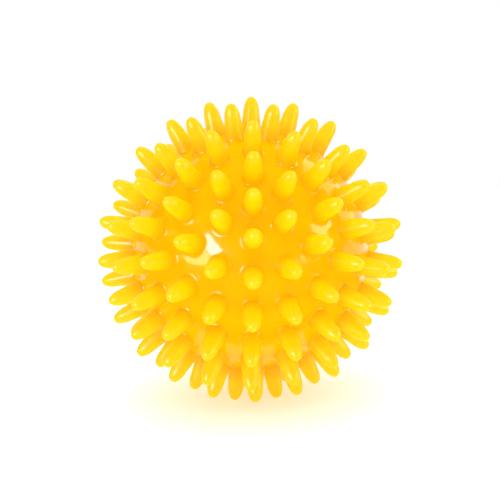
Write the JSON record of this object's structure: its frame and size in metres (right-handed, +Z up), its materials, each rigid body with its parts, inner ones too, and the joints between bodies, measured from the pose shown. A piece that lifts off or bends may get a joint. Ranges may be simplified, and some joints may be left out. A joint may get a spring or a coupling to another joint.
{
  "type": "spiky massage ball",
  "caption": "Hollow soft ball covered in blunt spikes set in rings, for massage and grip exercises, with a push-in air plug.",
  "frame": {"origin": "point on the floor straight below the ball's centre, with the ball at rest on three spikes", "axes": "+Z up, -Y towards the side that the upper pole of the spike pattern leans to, +X to the right seen from there"},
  "size_m": [0.0788, 0.0799, 0.0791],
  "materials": {
    "soft_pvc": "glossy soft vinyl, opaque yellow",
    "plug_plastic": "natural white polyethylene"
  },
  "bodies": {
    "ball": {"skin": "soft_pvc"},
    "plug": {"valve_plug": "plug_plastic"}
  },
  "joints": [
    {"name": "plug_pull", "type": "slide", "parent": "ball", "child": "plug", "axis": [0, 0.8519, -0.5236], "range_m": [0, 0.021]}
  ]
}
